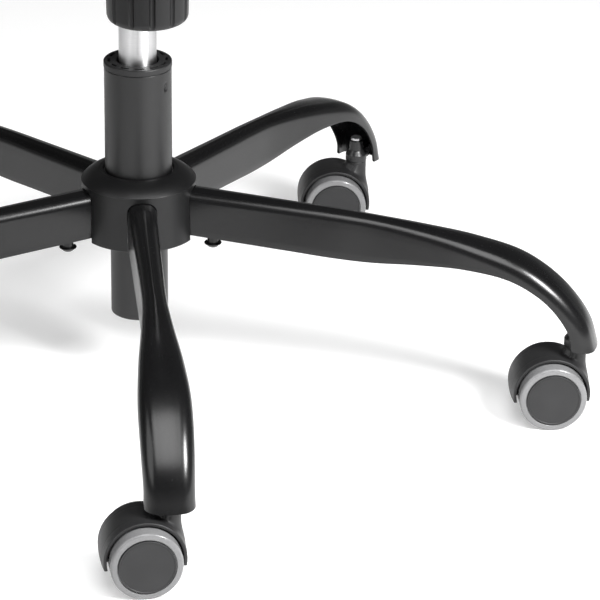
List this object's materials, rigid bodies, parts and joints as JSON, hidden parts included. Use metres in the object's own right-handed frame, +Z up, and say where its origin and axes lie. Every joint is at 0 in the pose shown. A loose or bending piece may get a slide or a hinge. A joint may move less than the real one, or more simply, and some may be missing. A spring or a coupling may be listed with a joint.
{
  "type": "office chair pedestal",
  "caption": "Office chair pedestal: black star base on twin-wheel casters, gas lift column and tilt mechanism with a tension knob and height lever, for a bolt-on seat.",
  "frame": {"origin": "on the floor under the column's axis", "axes": "+Z up along the column, -Y to the chair's front along the front leg, +X to the sitter's left"},
  "size_m": [0.6991, 0.6579, 0.443],
  "materials": {
    "black_steel": "semi-gloss black powder coat",
    "black_plastic": "fine-grained matte black moulding",
    "grey_disc": "matte dark grey moulding",
    "grey_tread": "smooth glossy grey soft tread",
    "bright_steel": "ground and polished bright steel",
    "plated_steel": "dull zinc plate",
    "spring_steel": "black oiled spring wire",
    "hub_casting": "as-cast alloy"
  },
  "bodies": {
    "base": {"caster_sockets": "black_steel", "leg_screws": "black_steel", "leg_clamp_plates": "black_steel", "hub": "hub_casting", "hub_cover": "black_plastic", "column_tube": "black_steel", "column_bush": "black_plastic", "thrust_bearing": "plated_steel", "front_leg": "black_steel", "right_leg": "black_steel", "back_right_leg": "black_steel", "back_left_leg": "black_steel", "left_leg": "black_steel"},
    "rod": {"piston_rod": "bright_steel", "rod_clip": "plated_steel"},
    "lift": {"gas_cylinder": "bright_steel", "cylinder_gland": "black_plastic", "mechanism_housing": "black_steel", "tilt_pin": "plated_steel", "upper_spring_washer": "plated_steel", "tension_spring": "spring_steel", "lever_pin": "plated_steel"},
    "seat": {"seat_plate": "black_steel", "tension_bolt": "plated_steel", "lower_spring_washer": "plated_steel"},
    "knob": {"tension_knob": "black_plastic"},
    "lever": {"height_lever": "black_steel", "lever_grip": "black_plastic"},
    "valve": {"release_pin": "bright_steel"},
    "front_caster": {"front_caster_stem_and_axle": "bright_steel", "front_caster_hood": "black_plastic"},
    "front_caster_left_wheel": {"front_caster_left_wheel": "grey_disc", "front_caster_left_tread": "grey_tread"},
    "front_caster_right_wheel": {"front_caster_right_wheel": "grey_disc", "front_caster_right_tread": "grey_tread"},
    "right_caster": {"right_caster_stem_and_axle": "bright_steel", "right_caster_hood": "black_plastic"},
    "right_caster_left_wheel": {"right_caster_left_wheel": "grey_disc", "right_caster_left_tread": "grey_tread"},
    "right_caster_right_wheel": {"right_caster_right_wheel": "grey_disc", "right_caster_right_tread": "grey_tread"},
    "back_right_caster": {"back_right_caster_stem_and_axle": "bright_steel", "back_right_caster_hood": "black_plastic"},
    "back_right_caster_left_wheel": {"back_right_caster_left_wheel": "grey_disc", "back_right_caster_left_tread": "grey_tread"},
    "back_right_caster_right_wheel": {"back_right_caster_right_wheel": "grey_disc", "back_right_caster_right_tread": "grey_tread"},
    "back_left_caster": {"back_left_caster_stem_and_axle": "bright_steel", "back_left_caster_hood": "black_plastic"},
    "back_left_caster_left_wheel": {"back_left_caster_left_wheel": "grey_disc", "back_left_caster_left_tread": "grey_tread"},
    "back_left_caster_right_wheel": {"back_left_caster_right_wheel": "grey_disc", "back_left_caster_right_tread": "grey_tread"},
    "left_caster": {"left_caster_stem_and_axle": "bright_steel", "left_caster_hood": "black_plastic"},
    "left_caster_left_wheel": {"left_caster_left_wheel": "grey_disc", "left_caster_left_tread": "grey_tread"},
    "left_caster_right_wheel": {"left_caster_right_wheel": "grey_disc", "left_caster_right_tread": "grey_tread"}
  },
  "joints": [
    {"name": "seat_swivel", "type": "hinge", "parent": "base", "child": "rod", "pos_m": [0, 0, 0.0604], "axis": [0, 0, 1], "continuous": true},
    {"name": "seat_height", "type": "slide", "parent": "rod", "child": "lift", "axis": [0, 0, 1], "range_m": [-0.1, 0]},
    {"name": "seat_tilt", "type": "hinge", "parent": "lift", "child": "seat", "pos_m": [0, -0.045, 0.425], "axis": [-1, 0, 0], "range_deg": [0, 10], "stiffness_Nm_per_rad": 40, "springref_deg": -8.59, "deforming": ["tension_spring"]},
    {"name": "tension_turn", "type": "hinge", "parent": "seat", "child": "knob", "pos_m": [0, -0.127, 0.346], "axis": [0, 0, 1], "continuous": true},
    {"name": "lever_lift", "type": "hinge", "parent": "lift", "child": "lever", "pos_m": [-0.0255, 0, 0.4177], "axis": [0, 1, 0], "range_deg": [0, 7], "stiffness_Nm_per_rad": 1.5, "springref_deg": -11.46},
    {"name": "valve_press", "type": "slide", "parent": "lift", "child": "valve", "axis": [0, 0, -1], "range_m": [0, 0.0037]},
    {"name": "front_caster_swivel", "type": "hinge", "parent": "base", "child": "front_caster", "pos_m": [0, -0.333, 0.0583], "axis": [0, 0, 1], "continuous": true},
    {"name": "front_caster_left_wheel_spin", "type": "hinge", "parent": "front_caster", "child": "front_caster_left_wheel", "pos_m": [-0.01845, -0.33436, 0.025], "axis": [0.0732, -0.9973, 0], "continuous": true},
    {"name": "front_caster_right_wheel_spin", "type": "hinge", "parent": "front_caster", "child": "front_caster_right_wheel", "pos_m": [-0.01845, -0.33436, 0.025], "axis": [0.0732, -0.9973, 0], "continuous": true},
    {"name": "right_caster_swivel", "type": "hinge", "parent": "base", "child": "right_caster", "pos_m": [0.3167, -0.1029, 0.0583], "axis": [0, 0, 1], "continuous": true},
    {"name": "right_caster_left_wheel_spin", "type": "hinge", "parent": "right_caster", "child": "right_caster_left_wheel", "pos_m": [0.29821, -0.10245, 0.025], "axis": [-0.0244, -0.9997, 0], "continuous": true},
    {"name": "right_caster_right_wheel_spin", "type": "hinge", "parent": "right_caster", "child": "right_caster_right_wheel", "pos_m": [0.29821, -0.10245, 0.025], "axis": [-0.0244, -0.9997, 0], "continuous": true},
    {"name": "back_right_caster_swivel", "type": "hinge", "parent": "base", "child": "back_right_caster", "pos_m": [0.19573, 0.2694, 0.0583], "axis": [0, 0, 1], "continuous": true},
    {"name": "back_right_caster_left_wheel_spin", "type": "hinge", "parent": "back_right_caster", "child": "back_right_caster_left_wheel", "pos_m": [0.17724, 0.26982, 0.025], "axis": [-0.0227, -0.9997, 0], "continuous": true},
    {"name": "back_right_caster_right_wheel_spin", "type": "hinge", "parent": "back_right_caster", "child": "back_right_caster_right_wheel", "pos_m": [0.17724, 0.26982, 0.025], "axis": [-0.0227, -0.9997, 0], "continuous": true},
    {"name": "back_left_caster_swivel", "type": "hinge", "parent": "base", "child": "back_left_caster", "pos_m": [-0.19573, 0.2694, 0.0583], "axis": [0, 0, 1], "continuous": true},
    {"name": "back_left_caster_left_wheel_spin", "type": "hinge", "parent": "back_left_caster", "child": "back_left_caster_left_wheel", "pos_m": [-0.21423, 0.26908, 0.025], "axis": [0.0175, -0.9998, 0], "continuous": true},
    {"name": "back_left_caster_right_wheel_spin", "type": "hinge", "parent": "back_left_caster", "child": "back_left_caster_right_wheel", "pos_m": [-0.21423, 0.26908, 0.025], "axis": [0.0175, -0.9998, 0], "continuous": true},
    {"name": "left_caster_swivel", "type": "hinge", "parent": "base", "child": "left_caster", "pos_m": [-0.3167, -0.1029, 0.0583], "axis": [0, 0, 1], "continuous": true},
    {"name": "left_caster_left_wheel_spin", "type": "hinge", "parent": "left_caster", "child": "left_caster_left_wheel", "pos_m": [-0.3352, -0.10274, 0.025], "axis": [-0.0087, -1, 0], "continuous": true},
    {"name": "left_caster_right_wheel_spin", "type": "hinge", "parent": "left_caster", "child": "left_caster_right_wheel", "pos_m": [-0.3352, -0.10274, 0.025], "axis": [-0.0087, -1, 0], "continuous": true}
  ],
  "couplings": [
    {"joint": "valve_press", "follows": "lever_lift", "m_per_rad": 0.0295}
  ]
}
